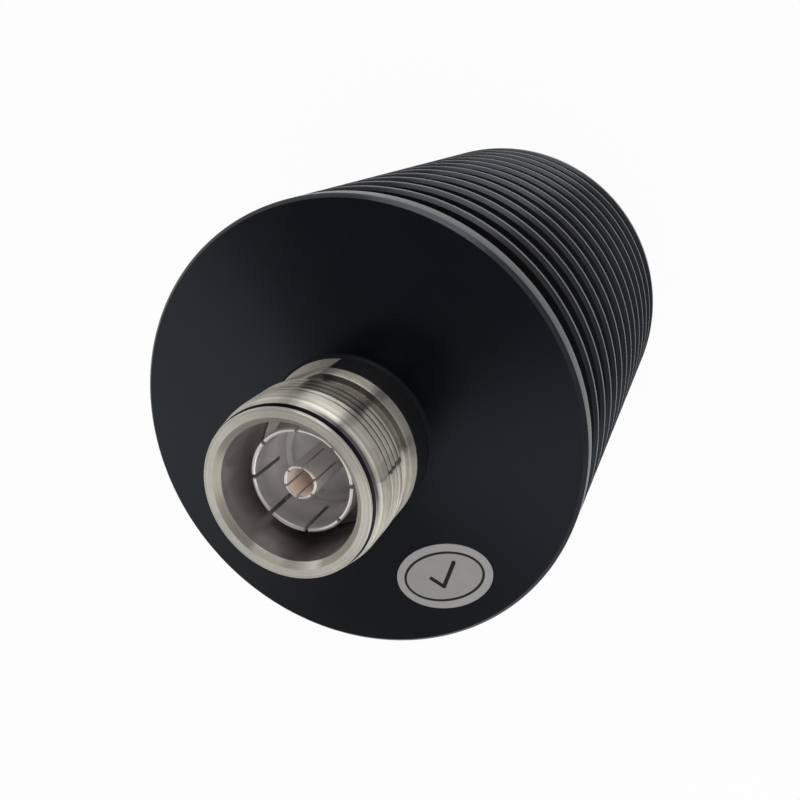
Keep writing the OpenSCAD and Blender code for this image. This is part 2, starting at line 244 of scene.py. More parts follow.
class CouplingSettings(PropertyGroup):
    """Sizes and finish of the screw coupling and its two contacts."""

    spigot_radius: length("Spigot radius", "Radius of the spigot in the neck", 8.0 * MM)
    collar_radius: length("Collar radius", "Radius of the collar", 10.3 * MM)
    collar_top: length("Collar top", "Height of the collar's front face", 78.4 * MM)
    relief_radius: length("Relief radius", "Radius of the thread relief", 9.45 * MM)
    thread_floor: length("Thread start", "Height at which the thread starts", 80.7 * MM)
    thread_top: length("Thread end", "Height at which the thread ends", 85.0 * MM)
    thread_radius: length("Thread radius", "Radius over the crests and the pilot", 10.35 * MM)
    thread_depth: length("Thread depth", "Depth of the thread", 0.45 * MM)
    thread_pitch: length("Thread pitch", "Distance between two turns", 1.05 * MM)
    thread_turn: turn("Thread turn", "Direction in which a crest meets the thread's end", -39.0)
    runout: length("Thread runout", "Length of the step from relief to thread", 0.1 * MM)
    lead_floor: length("Lead-in start", "Height at which the pilot starts to taper", 86.0 * MM)
    lead_radius: length("Lead-in radius", "Radius of the pilot's front edge", 9.95 * MM)
    lead_round: length("Lead-in rounding", "Rounding where the pilot starts to taper", 6.0 * MM)
    pilot_top: length("Pilot top", "Height of the pilot's front edge", 88.1 * MM)
    groove_radius: length("Groove radius", "Radius at the bottom of the groove", 9.1 * MM)
    groove_top: length("Groove top", "Height of the groove's front wall", 88.55 * MM)
    lip_radius: length("Lip radius", "Radius of the lip", 9.75 * MM)
    lip_top: length("Lip top", "Height of the lip's front face", COUPLING_HIGH.z)
    lip_round: length("Lip rounding", "Rounding on the lip's front edge", 0.12 * MM)
    mouth_radius: length("Mouth radius", "Radius of the mouth", 8.0 * MM)
    mouth_chamfer: length("Mouth chamfer", "Chamfer at the mouth's edge", 0.7 * MM)
    mouth_floor: length("Mouth floor", "Height of the mouth's floor", 78.7 * MM)
    line_radius: length("Line radius", "Radius of the bore behind the contacts", 5.0 * MM)
    crisp_round: length("Crisp rounding", "Rounding in the groove and the relief", 0.05 * MM)
    fine_round: length("Fine rounding", "Rounding on the mouth and on shoulders", 0.08 * MM)
    edge_round: length("Edge rounding", "Rounding on plain edges", 0.1 * MM)
    soft_round: length("Soft rounding", "Rounding on the collar and the tail pin", 0.15 * MM)
    broad_round: length("Broad rounding", "Rounding on ring tips and mouth floor", 0.2 * MM)
    ring_radius: length("Ring radius", "Outside radius of the slotted ring", 6.15 * MM)
    ring_wall: length("Ring wall", "Wall of the slotted ring", 0.52 * MM)
    ring_slot: length("Ring slot", "Width of a slot in the ring", 0.5 * MM)
    ring_slot_floor: length("Ring slot floor", "Height at which the slots end", 79.0 * MM)
    ring_slots: whole("Ring slots", "Slots in the outer ring", 8)
    ring_turn: turn("Ring turn", "Direction of the ring's first slot", 39.0)
    foot_radius: length("Foot radius", "Radius of the ring's foot", RING_HIGH.x)
    socket_radius: length("Socket radius", "Outside radius of the centre socket", 2.0 * MM)
    socket_bore: length("Socket bore", "Radius of the socket's bore", 1.58 * MM)
    socket_floor: length("Socket floor", "Height of the socket's floor", 77.9 * MM)
    socket_slot: length("Socket slot", "Width of a slot in the socket", 0.28 * MM)
    socket_slot_floor: length("Socket slot floor", "Height at which they end", 79.9 * MM)
    socket_slots: whole("Socket slots", "Slots in the centre socket", 6)
    socket_turn: turn("Socket turn", "Direction of the socket's first slot", 8.6)
    socket_round: length("Socket rounding", "Rounding on the socket's tips", 0.16 * MM)
    waist_radius: length("Waist radius", "Radius where the bead grips", 1.6 * MM)
    inner_radius: length("Inner radius", "Radius of the inner conductor", SOCKET_HIGH.x)
    tail_radius: length("Tail radius", "Radius of the tail pin", 1.2 * MM)
    tail_top: length("Tail top", "Height at which the tail pin starts", 69.3 * MM)
    nickel: colour("Nickel", "Colour of the plated coupling", (0.62, 0.60, 0.53))
    tarnish: colour("Tarnish", "Colour of stained plating", (0.40, 0.37, 0.31))
    # Painted shade in the thread's roots and in the groove, a painted dark reflection beside the
    # groove and clots of dirt along the streak take this colour.
    shade_and_clot_colour: colour("Grime", "Colour in the thread's roots and the groove", (0.024, 0.022, 0.034))
    # The darker plating in the mouth is a painted dark reflection of the mouth's dark inside.
    mouth: colour("Mouth", "Colour of the plating in the mouth", (0.50, 0.47, 0.45))
    shade_turn: turn("Shade direction", "Direction of the shaded wall in the mouth", -100.0)
    shade_spread: turn("Shade spread", "Angle from the shade's middle to its edge", 18.0)
    # A painted highlight on part of the mouth's chamfer centres on this direction.
    chamfer_glint_turn: turn("Burnish direction", "Direction of the chamfer's bright part", -90.0)
    chamfer_glint_spread: turn("Burnish spread", "Angle from that part's middle to its edge", 16.0)
    # The stain on the thread's upper arc, partly a painted dark reflection, centres on this
    # direction, as do the brown relief and the painted shade on the collar and on the lip's face.
    dark_arc_turn: turn("Stain direction", "Direction of the stain on the thread", 62.5)
    dark_arc_spread: turn("Stain spread", "Angle from the stain's middle to its edge", 20.5)
    dark_arc_top: length("Stain top", "Height at which the stain ends", 84.1 * MM)
    streak_turn: turn("Streak direction", "Direction of the dark streak on the thread", 5.0)
    streak_spread: turn("Streak spread", "Angle from the streak's middle to its edge", 1.2)
    # The painted dark reflection on the pilot's edge beside the groove centres on this direction.
    brim_turn: turn("Brim direction", "Direction of the dark edge beside the groove", 25.0)
    brim_spread: turn("Brim spread", "Angle from that edge's middle to its ends", 38.0)
    brown_spread: turn("Brown spread", "Angle to the edge of the brown relief", 58.0)
    plate: colour("Contact plating", "Colour of the plated contacts", (0.70, 0.67, 0.63))
    # Painted light: the lighter, plain colours inside ring and socket stand in for light reaching
    # their bores.
    ring_inside: colour("Ring inside", "Colour deep inside the ring", (0.90, 0.87, 0.83))
    socket_outside: colour("Socket outside", "Colour of the socket's wall", (0.66, 0.635, 0.61))
    socket_inside: colour("Socket inside", "Colour in the socket", (0.97, 0.82, 0.70))


class StickerSettings(PropertyGroup):
    """Sizes and print of the oval sticker."""

    half_width: length("Half width", "Half of the long axis", 6.45 * MM)
    half_height: length("Half height", "Half of the short axis", 4.4 * MM)
    turned: turn("Turn", "Turn of the sticker on the face", 14.5)
    margin: length("Margin", "Distance of the printed oval from the edge", 1.17 * MM)
    line: length("Line", "Half width of the printed lines", 0.165 * MM)
    film: colour("Film", "Colour of the sticker's film", (0.395, 0.39, 0.38))
    field: colour("Field", "Tint of the film inside the printed oval", (0.92, 0.89, 0.875))
    ink: colour("Ink", "Colour of the print", (0.008, 0.008, 0.009))


class InnerSettings(PropertyGroup):
    """Sizes and colours of the beads, and colours of the pieces inside the body."""

    keeper_width: length("Keeper width", "Width of the ring over the front bead", 0.8 * MM)
    bead_round: length("Bead rounding", "Rounding on the rims of bead and keeper", 0.1 * MM)
    hole_round: length("Hole rounding", "Rounding on the edges of their holes", 0.06 * MM)
    bead: colour("Bead", "Colour of the insulating beads", (0.93, 0.91, 0.89))
    # Painted light: the keeper is pale and plain in place of nickel, to lighten the corner it sits
    # in.
    keeper: colour("Keeper", "Colour of the ring over the front bead", (0.93, 0.91, 0.88))
    rubber: colour("Seal", "Colour of the seal", (0.014, 0.014, 0.015))
    steel: colour("Spring steel", "Colour of the spring washer", (0.50, 0.51, 0.53))
    brass: colour("Brass", "Colour of liner and input cap", (0.60, 0.45, 0.18))
    film: colour("Resistive film", "Colour of the resistor rod", (0.07, 0.09, 0.08))
    copper: colour("Copper", "Colour of the ground cap", (0.55, 0.22, 0.11))
    foil: colour("Foil", "Colour of the soft foil", (0.30, 0.31, 0.33))


class StageSettings(PropertyGroup):
    """Camera, floor and light of the studio."""

    camera_place: FloatVectorProperty(
        name="Camera place",
        description="Where the camera stands",
        default=(45.09 * MM, 32.63 * MM, 162.86 * MM),
        subtype="TRANSLATION",
        unit="LENGTH",
    )
    camera_turn: FloatVectorProperty(
        name="Camera turn",
        description="How the camera is turned, about X, Y and Z",
        default=(math.radians(-24.75), math.radians(21.773), math.radians(-9.704)),
        subtype="EULER",
        unit="ROTATION",
    )
    sensor: number("Sensor", "Width of the sensor in millimetres", 36.0)
    lens: number("Lens", "Focal length in millimetres", 39.571)
    shift_x: number("Shift across", "Sideways shift of the frame", 0.0392)
    shift_y: number("Shift up", "Upward shift of the frame", 0.1040)
    near: length("Near", "Distance at which the camera starts to see", 0.001)
    far: length("Far", "Distance at which the camera stops seeing", 20.0)
    floor_radius: length("Floor radius", "Radius of the pale floor", 3.0)
    floor: colour("Floor", "Colour of the floor", (0.86, 0.86, 0.86))
    glow: share("Glow", "How far the floor looks white, in place of lit", 0.95)
    room: colour("Room", "Colour of the soft light all round", (0.60, 0.60, 0.60))
    panel: colour("Panels", "Colour of the brightest panels low down", (1.0, 1.0, 1.0))
    level: number("Level", "Strength of the light all round", 1.35)
    aim: length("Aim", "Height at which the soft boxes point", 70 * MM)


# Surfaces


def rounded(corners, steps=5):
    """Outline through corners, given as radius, height and rounding, each rounded by an arc.

    The arc touches both sides at rounding / tan(half the corner's angle) from the corner, or nearly
    half way along the shorter side, and its points turn evenly about its centre from the first
    touch to the second.
    """
    corners = np.asarray(corners, float)
    radii = corners[1:-1, 2:]
    corners = corners[:, :2]
    point = corners[1:-1]
    before = corners[:-2] - point
    after = corners[2:] - point
    before_len = np.linalg.norm(before, axis=1, keepdims=True)
    after_len = np.linalg.norm(after, axis=1, keepdims=True)
    before = before / before_len
    after = after / after_len
    nearly_straight = 0.999999
    cosine = (before * after).sum(1, keepdims=True)
    half = np.arccos(np.clip(cosine, -nearly_straight, nearly_straight)) / 2
    nearly_half = 0.49
    reach = np.minimum(radii / np.tan(half), nearly_half * np.minimum(before_len, after_len))
    radius = reach * np.tan(half)
    bisector = before + after
    bisector = bisector / np.linalg.norm(bisector, axis=1, keepdims=True)
    centre = point + bisector * radius / np.sin(half)
    first = point + before * reach - centre
    last = point + after * reach - centre
    swing = (np.pi - 2 * half)[:, None, :]
    t = np.linspace(0, 1, steps + 1)[None, :, None]
    arc = np.sin((1 - t) * swing) * first[:, None] + np.sin(t * swing) * last[:, None]
    arc = centre[:, None] + arc / np.sin(swing)
    line = np.vstack([corners[:1], arc.reshape(-1, 2), corners[-1:]])
    keep = np.r_[True, np.linalg.norm(np.diff(line, axis=0), axis=1) > NO_LENGTH]
    return line[keep]


def turn_angles(count, marks=()):
    """Evenly spaced angles of one turn, with the marked angles put in exactly.

    An even angle that lies within two fifths of a step of a mark gives way to it.
    """
    step = 2 * np.pi / count
    angles = np.arange(count) * step
    marks = np.mod(np.asarray(marks, float), 2 * np.pi)
    if marks.size:
        apart = np.abs(np.mod(angles[:, None] - marks + np.pi, 2 * np.pi) - np.pi)
        angles = angles[apart.min(1) > 0.4 * step]
    return np.sort(np.r_[angles, marks])


def turned_grid(radius, height, angles):
    """Surface of turning: x = r cos a, y = r sin a and z = h, on a grid of rows by angles."""
    radius, height, angles = np.broadcast_arrays(radius, height, angles)
    points = np.stack([radius * np.cos(angles), radius * np.sin(angles), height], -1)
    return points.reshape(-1, 3)


def quads(*corners):
    """Four-cornered faces, from an array of point numbers for each corner."""
    return np.stack(np.broadcast_arrays(*corners), -1).reshape(-1, 4)


def grid_faces(rows, columns):
    """Faces of a grid whose columns close on themselves."""
    row = np.arange(rows - 1)[:, None] * columns
    below = row + columns
    across = np.arange(columns)
    beside = (across + 1) % columns
    return quads(row + across, row + beside, below + beside, below + across)


def flattened(radius, angles, offset, direction):
    """Radius cut by two opposite flats: the smaller of r and offset / |cos(a - direction)|."""
    across = np.maximum(np.abs(np.cos(angles - direction)), 1e-6)
    return np.minimum(radius, offset / across)


def flat_edges(radius, offset, direction):
    """The four angles at which two opposite flats meet a round wall."""
    half = math.acos(offset / radius)
    return [direction + side + half * sign for side in (0, math.pi) for sign in (-1, 1)]


def finger_outline(outer, inner, floor, top, tip_round):
    """Outline of a finger: up its outer wall, over its rounded tip and down its inner wall."""
    return rounded(
        [
            [outer, floor, 0],
            [outer, top, tip_round],
            [inner, top, tip_round],
            [inner, floor, 0],
        ]
    )


def slotted_sleeve(tip, base, count, width, first, columns):
    """Sleeve whose upper end is cut into fingers by straight slots.

    tip is the outline of a finger, from the outer slot floor over the tip to the inner slot floor,
    with as many points outside as inside. base is the outline of the rest, from the inner slot
    floor round to the outer one. A slot's wall lies half a width off the slot's middle plane, so at
    radius r a finger starts asin(width / 2r) after the middle of its slot, at most 30 degrees.
    """
    starts = first + np.arange(count) * 2 * np.pi / count
    along = np.linspace(0, 1, columns)[:, None]

    def spread(outline):
        radius, height = outline.T
        half = np.arcsin(np.minimum(width / 2 / np.maximum(radius, NO_LENGTH), 0.5))
        angles = starts[:, None, None] + half + along * (2 * np.pi / count - 2 * half)
        return turned_grid(radius, height, angles)

    n = len(tip)

    def at(finger, column, k):
        return ((finger % count) * columns + column) * n + k

    finger = np.arange(count)[:, None, None]
    across = np.arange(columns - 1)[:, None]
    up = np.arange(n - 1)
    walls = quads(
        at(finger, across, up),
        at(finger, across + 1, up),
        at(finger, across + 1, up + 1),
        at(finger, across, up + 1),
    )
    end = np.array([[0], [columns - 1]])
    rise = np.arange(n // 2 - 1)
    sides = quads(
        at(finger, end, rise),
        at(finger, end, rise + 1),
        at(finger, end, n - 2 - rise),
        at(finger, end, n - 1 - rise),
    )
    before = at(finger, columns - 1, 0)
    after = at(finger + 1, 0, 0)
    floors = quads(before, after, after + n - 1, before + n - 1)
    m = len(base)
    row = np.arange(m - 1)
    column = np.arange(count * columns)[:, None]
    beside = (column + 1) % (count * columns) * m + row
    column = column * m + row
    body = quads(column, beside, beside + 1, column + 1)
    upper = spread(tip)
    points = np.vstack([upper, spread(base)])
    return points, np.vstack([walls, sides, floors, body + len(upper)])


def thread_cut(s, height, angles):
    """Depth of the thread below its crests.

    The phase (z - end) / pitch - (a - start) / one turn runs along the helix, and a smooth step
    leads from root to crest. The crests rise at the thread's start, and the roots end at its end.
    """
    turns = (height - s.thread_top) / s.thread_pitch - (angles - s.thread_turn) / (2 * np.pi)
    root_share, flank_share = 0.1, 0.5
    start_turns, end_turns = 0.35, 0.15
    phase = np.abs(2 * np.mod(turns, 1.0) - 1)
    rise = np.clip((phase - root_share) / flank_share, 0, 1)
    crest = rise * rise * (3 - 2 * rise)
    start = np.clip((height - s.thread_floor) / (start_turns * s.thread_pitch), 0, 1)
    end = np.clip((s.thread_top - height) / (end_turns * s.thread_pitch), 0, 1)
    return s.thread_depth * (1 - crest * start) * end


def closed_mesh(name, points, faces):
    """A mesh whose doubled points are joined and whose faces point outwards."""
    mesh = bpy.data.meshes.new(name)
    mesh.from_pydata(points.tolist(), [], faces.tolist())
    work = bmesh.new()
    work.from_mesh(mesh)
    bmesh.ops.remove_doubles(work, verts=work.verts, dist=SAME_POINT)
    bmesh.ops.dissolve_degenerate(work, edges=work.edges, dist=NO_LENGTH)
    bmesh.ops.recalc_face_normals(work, faces=work.faces)
    work.to_mesh(mesh)
    work.free()
    return mesh


def linked(name, data):
    """A new object in the scene."""
    thing = bpy.data.objects.new(name, data)
    bpy.context.scene.collection.objects.link(thing)
    return thing


def add_piece(name, points, faces, material, node, slot):
    """Puts a surface in the part, in place of one of its solids."""
    mesh = closed_mesh(name, points, faces)
    mesh.polygons.foreach_set("use_smooth", np.ones(len(mesh.polygons), bool))
    mesh.set_sharp_from_angle(angle=CREASE)
    mesh.materials.append(material)
    piece = linked(name, mesh)
    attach(piece, "root")
    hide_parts(node)


def add_turned(name, radius, height, angles, material, node, slot):
    """Puts a surface of turning in the part, from the radius and the height of its rows."""
    points = turned_grid(radius, height, angles)
    add_piece(name, points, grid_faces(len(height), len(angles)), material, node, slot)


# Finishes


class Wire:
    """An output socket: Python's operators on it add the Math nodes that work a value out."""

    def __init__(self, paint, socket):
        self.paint = paint
        self.socket = socket

    def out(self, name):
        """Another output of the same node."""
        return Wire(self.paint, self.socket.node.outputs[name])

    def __add__(self, other):
        return self.paint.math("ADD", self, other)

    __radd__ = __add__

    def __sub__(self, other):
        return self.paint.math("SUBTRACT", self, other)

    def __rsub__(self, other):
        return self.paint.math("SUBTRACT", other, self)

    def __mul__(self, other):
        return self.paint.math("MULTIPLY", self, other)

    __rmul__ = __mul__

    def __truediv__(self, other):
        return self.paint.math("DIVIDE", self, other)

    def __rtruediv__(self, other):
        return self.paint.math("DIVIDE", other, self)

    def __pow__(self, other):
        return self.paint.math("POWER", self, other)

    def __gt__(self, other):
        return self.paint.math("GREATER_THAN", self, other)

    def __lt__(self, other):
        return self.paint.math("LESS_THAN", self, other)

    def __abs__(self):
        return self.paint.math("ABSOLUTE", self)


class Paint:
    """The nodes of one material, or of the world."""

    def __init__(self, owner):
        owner.use_nodes = True
        self.owner = owner
        self.tree = owner.node_tree
        self.tree.nodes.clear()

    def node(self, kind, settings=None, inputs=None, out=0):
        """Adds a node of one type, its settings first, then the values or links of its sockets."""
        node = self.tree.nodes.new(kind)
        for key, value in (settings or {}).items():
            if key == "stops":
                self.set_stops(node.color_ramp.elements, value)
            else:
                setattr(node, key, value)
        for key, value in (inputs or {}).items():
            if isinstance(value, Wire):
                self.tree.links.new(value.socket, node.inputs[key])
            else:
                node.inputs[key].default_value = value
        return Wire(self, node.outputs[out]) if len(node.outputs) else None

    def set_stops(self, elements, stops):
        """Gives a ramp its stops: pairs of place and colour, in order."""
        while len(elements) < len(stops):
            elements.new(1.0)
        for element, (place, tone) in zip(elements, stops):
            element.position = place
            element.color = tone

    def math(self, operation, *values):
        """A Math node on up to three values."""
        return self.node("ShaderNodeMath", {"operation": operation}, dict(enumerate(values)))

    def most(self, *values):
        """The largest of several values."""
        return reduce(lambda first, second: self.math("MAXIMUM", first, second), values)

    def between(self, value, low, high):
        """1 where a value lies between two others, and 0 elsewhere."""
        return (value > low) * (value < high)

    def place(self):
        """The point on the piece in millimetres: x, y, z and the distance from the axis."""
        point = self.node("ShaderNodeTexCoord", out="Object")
        parts = self.node("ShaderNodeSeparateXYZ", inputs={"Vector": point})
        x, y, z = (parts.out(axis) / MM for axis in "XYZ")
        return x, y, z, (x * x + y * y) ** 0.5

    def noise(self, x, y, z, scale, detail=2.0, roughness=0.5):
        """Noise between 0 and 1 over three values."""
        vector = self.node("ShaderNodeCombineXYZ", inputs={"X": x, "Y": y, "Z": z})
        grain = {"Scale": scale, "Detail": detail, "Roughness": roughness}
        return self.node("ShaderNodeTexNoise", inputs={"Vector": vector, **grain})

    def ease(self, value, low, high):
        """0 below low, 1 above high and a smooth step between them."""
        return self.node(
            "ShaderNodeMapRange",
            {"interpolation_type": "SMOOTHSTEP"},
            {"Value": value, "From Min": low, "From Max": high},
        )

    def blend(self, factor, first, second, mode="MIX"):
        """Mixes two colours."""
        return self.node(
            "ShaderNodeMix",
            {"data_type": "RGBA", "blend_type": mode},
            {0: factor, 6: first, 7: second},
            out=2,
        )

    def coats(self, base, *coats):
        """A colour with others laid over it in order, given as pairs of factor and colour."""
        return reduce(lambda under, coat: self.blend(coat[0], under, coat[1]), coats, base)

    def mottled(self, factor, rgb, low, high):
        """A colour that varies from a darker to a lighter one."""
        return self.blend(factor, solid(rgb, low), solid(rgb, high))

    def bump(self, height, distance, strength):
        """A normal from a height, which runs from 0 to 1 over a distance in millimetres."""
        return self.node(
            "ShaderNodeBump",
            inputs={"Height": height, "Distance": distance * MM, "Strength": strength},
        )

    def surface(self, inputs):
        """Adds the shader and the output, and gives the finished material."""
        shader = self.node("ShaderNodeBsdfPrincipled", inputs=inputs)
        self.node("ShaderNodeOutputMaterial", inputs={"Surface": shader})
        return self.owner


def solid(rgb, scale=1.0):
    """A colour with its alpha, made lighter or darker."""
    return (*(min(1.0, c * scale) for c in rgb), 1.0)


def millimetres(settings):
    """The lengths among some settings, in millimetres."""
    rows = settings.bl_rna.properties
    lengths = [row.identifier for row in rows if getattr(row, "unit", "") == "LENGTH"]
    return SimpleNamespace(**{name: getattr(settings, name) / MM for name in lengths})


# A quarter turn of the anisotropy lays its streaks round the axis, as a lathe does.
LATHE_TURN = 0.25


def anodised_finish(s):
    """Black anodised skin with lathe lines, painted light on rims, bevels and gaps, and bare metal
    where the flats are milled.
    """
    paint = Paint(bpy.data.materials.new("black_anodised"))
    mm = millimetres(s)
    x, y, z, radius = paint.place()
    lathe = paint.noise(radius, z, 0.0, scale=9.0, detail=3.0, roughness=0.6)
    cloud = paint.noise(x, y, z, scale=0.16, detail=3.0, roughness=0.55)
    speck = paint.noise(x, y, z, scale=6.0, roughness=0.6)

    def facing(direction, spread):
        """1 where the skin faces one direction, fading to 0 at an angle from it."""
        towards = (x * math.cos(direction) + y * math.sin(direction)) / radius
        return paint.ease(towards, math.cos(spread), 1.0)

    # Rims, bevels and the outer band of each fin's face, made lighter on the side the light comes
    # from: painted light
    outer = paint.ease(radius + (speck - 0.5) * 0.1, mm.radius - 0.5, mm.radius - 0.4)
    rim = paint.ease(radius, mm.radius - 0.2, mm.radius - LOOSE)
    bevel = facing(s.glint_turn, s.glint_fade) * 0.4 + facing(s.glint_turn, s.glint_spread) * 0.6
    lit = rim * facing(s.lit_turn, s.lit_spread) + (1 - rim) * bevel

    # Gaps between the fins, painted lighter towards the rear, where light from the floor reaches
    # them, and darker towards the front: painted light and painted shade
    gap = radius < mm.radius - mm.bevel_width - HAIR
    gap = gap * paint.between(z, mm.rear_plate - 0.1, mm.front - mm.front_plate - HAIR)
    darkened = paint.ease(z, mm.gap_light_floor, mm.gap_light_top)
    brightened = paint.blend(darkened, solid(s.lightened), solid(s.lightened, 0.25))

    # Neck, with a matt cove at its foot and two milled flats
    neck = (radius < mm.neck_radius + HAIR) * (z > mm.front)
    cove = (radius < mm.neck_radius + mm.neck_cove) * (z > mm.front + 0.005) * (1 - neck)
    across = abs(x * math.cos(s.flat_turn) + y * math.sin(s.flat_turn))
    milled = (across > mm.flat_offset - HAIR) * (z > mm.flat_floor - HAIR)
    milled = milled * (radius < mm.neck_radius + LOOSE)
    cutter = paint.noise(across * 0.5, x - y, z, scale=2.6, detail=3.0, roughness=0.65)

    skin = paint.coats(
        paint.mottled(cloud, s.anodise, 0.8, 1.25),
        # Painted light on the rims, bevels and the outer bands of the fins' faces
        (outer * lit, solid(s.lightened, 1.35)),
        # Painted light in the gaps, lighter towards the rear
        (gap, brightened),
        (neck, solid(s.lightened, 0.3)),
        (paint.ease(speck, 0.66, 0.8) * 0.35, solid(s.anodise, 2.6)),
        (milled, paint.mottled(cutter, s.bare, 0.7, 1.3)),
    )
    rough = s.gloss + (cloud - 0.5) * 0.08 + (lathe - 0.5) * 0.06 + cove * 0.35
    return paint.surface(
        {
            "Base Color": skin,
            "Metallic": milled,
            "Roughness": rough + milled * 0.12,
            "Specular IOR Level": 0.25,
            "Specular Tint": solid(s.sheen),
            "Anisotropic": 0.75,
            "Anisotropic Rotation": LATHE_TURN,
            "Normal": paint.bump(lathe + speck * 0.4, distance=0.004, strength=0.2),
        }
    )


def coupling_stains_and_shade(paint, s, z, radius, outside, speck, sector):
    """Three shares for the plating on the coupling's outside: stains and dirt with painted shade and
    a painted dark reflection, painted shade and clots of dirt, and painted dark reflections.
    """
    mm = millimetres(s)
    low = outside * (z > mm.collar_top - HAIR)
    behind = outside * (z < mm.groove_top)

    # A stain on the thread's upper arc that is partly a painted dark reflection, a brown stain on the
    # relief, painted shade on the collar's upper side with some random dirt, and a streak
    dark_arc_edge = mm.dark_arc_top - z + (speck - 0.5) * 0.8
    stain_and_dark_reflection = low * sector(s.dark_arc_turn, s.dark_arc_spread) * paint.ease(dark_arc_edge, -0.1, 0.3)
    browned = low * sector(s.dark_arc_turn, s.brown_spread) * (z < mm.thread_floor)
    collar = outside * (z < mm.collar_top - 0.1) * sector(s.dark_arc_turn, s.dark_arc_spread * 1.2)
    streak = low * sector(s.streak_turn, s.streak_spread, s.streak_spread * 0.7)
    streak = streak * paint.ease(z, mm.thread_floor - 1.0, mm.thread_floor + 0.5)
    streak = streak * paint.ease(mm.pilot_top - z, 0.3, 1.5)
    dirt_and_shade = paint.most(
        stain_and_dark_reflection * (0.7 + speck * 0.45),
        browned * (0.35 + speck * 0.4),
        collar * (0.2 + speck * 0.45),
        outside * (z < mm.collar_top - HAIR) * speck * 0.3,
        streak * (0.2 + speck * 0.5),
    )

    # Painted shade in the thread's roots and in the groove, a painted dark reflection on the pilot's
    # edge beside the groove, and clots of dirt along the streak
    root = paint.ease(mm.thread_radius - 0.2 * mm.thread_depth - radius, 0.0, 0.16)
    root = root * outside * paint.between(z, mm.thread_floor, mm.thread_top)
    groove = outside * (radius < mm.lead_radius - 0.03)
    groove = groove * paint.between(z, mm.pilot_top - 0.03, mm.groove_top + 0.1)
    brim = behind * sector(s.brim_turn, s.brim_spread, 0.26)
    brim = brim * paint.ease(z, mm.pilot_top - 0.7, mm.pilot_top - 0.3)
    clotted = streak * paint.ease(mm.thread_top - z, -0.3, 0.6) * (0.3 + speck)
    shade_and_clots = paint.most(root * 0.85, groove * 0.95, brim * 0.8, clotted)

    # Painted dark reflections, in columns down the wall behind the groove
    dark_reflections = sum(
        sector(math.radians(middle), math.radians(spread)) * (depth + (speck - 0.5) * 0.3)
        for middle, spread, depth in DARK_REFLECTION_COLUMNS
    )
    return dirt_and_shade, shade_and_clots, dark_reflections * behind


def nickel_finish(s):
    """Nickel plating over turned brass, with lathe lines, stains, clots of dirt in the thread, and
    painted shade, painted dark reflections and painted highlights.
    """
    paint = Paint(bpy.data.materials.new("nickel"))
    mm = millimetres(s)
    x, y, z, radius = paint.place()
    fine = paint.noise(radius, z, 0.0, scale=11.0, detail=4.0, roughness=0.65)
    rings = paint.noise(radius, z, 0.0, scale=3.2, roughness=0.6)
    cloud = paint.noise(x, y, z, scale=0.33, detail=3.0, roughness=0.6)
    speck = paint.noise(x, y, z, scale=5.0, roughness=0.6)
    smear = paint.noise(x, y, z * 0.2, scale=1.4)
    bearing = paint.math("ARCTAN2", y, x) + (smear - 0.5) * 0.12

    def sector(middle, spread, edge=math.radians(2.5)):
        """1 on the walls that face one direction, within an angle of it."""
        return paint.ease(spread - abs(bearing - middle), -edge, edge)

    outside = radius > mm.groove_radius - LOOSE
    dirt_and_shade, shade_and_clots, dark_reflections = coupling_stains_and_shade(paint, s, z, radius, outside, speck, sector)

    # Lip and pilot, with a painted highlight line on the pilot, a painted highlight on part of the
    # chamfer, and the lip's face painted lighter away from its upper side
    face = z > mm.lip_top - HAIR
    upper = sector(s.dark_arc_turn, s.brown_spread * 0.8, 0.35)
    mouth = (radius < mm.mouth_radius + HAIR) * (z > mm.mouth_floor - LOOSE)
    chamfer = (radius < mm.mouth_radius + mm.mouth_chamfer - HAIR) - mouth
    chamfer = chamfer * (z > mm.lip_top - mm.mouth_chamfer - LOOSE)
    pilot_highlight = outside * paint.ease(z, mm.pilot_top - 1.3, mm.pilot_top - 1.0)
    pilot_highlight = pilot_highlight * paint.ease(mm.pilot_top - z, 0.75, 0.95)
    chamfer_glint = chamfer * sector(s.chamfer_glint_turn, s.chamfer_glint_spread, 0.1)
    bright = pilot_highlight * 0.8 + chamfer_glint * 0.9 + face * (1 - upper) * 0.17

    # Mouth wall: darker plating as a painted dark reflection of the inside, with painted shade
    # towards the shade direction
    shaded = sector(s.shade_turn, s.shade_spread, 0.2) * 0.6
    wall = paint.coats(paint.mottled(smear, s.mouth, 0.8, 1.2), (shaded, solid(s.mouth, 0.3)))
    plating = paint.coats(
        solid(s.nickel),
        (paint.ease(cloud, 0.42, 0.75) * 0.6, solid(s.tarnish)),
        (paint.ease(rings, 0.4, 0.7) * 0.65, solid(s.tarnish, 0.75)),
        # The chamfer darker, and the lip's face darker, with painted shade on its upper side
        (chamfer * 0.7 + face * (0.1 + upper * 0.3), solid(s.tarnish, 0.85)),
        # Painted highlights on the pilot, the chamfer and the lip's face
        (bright, solid(s.nickel, 1.4)),
        # Painted dark reflections
        (dark_reflections, solid(s.tarnish, 0.28)),
        # Stains and dirt, with a painted dark reflection on the upper arc and painted shade on the
        # collar
        (dirt_and_shade, solid(s.tarnish, 0.28)),
        # Painted shade and a painted dark reflection, with clots of dirt
        (shade_and_clots, solid(s.shade_and_clot_colour)),
        (mouth, wall),
    )
    rough = 0.39 + (fine - 0.5) * 0.12 + (rings - 0.5) * 0.1 + face * 0.1 - mouth * 0.15
    return paint.surface(
        {
            "Base Color": plating,
            "Metallic": 1 - face * 0.7,
            "Roughness": rough,
            "Anisotropic": 1.0,
            "Anisotropic Rotation": LATHE_TURN,
            "Normal": paint.bump(fine + rings, distance=0.006, strength=0.6),
        }
    )


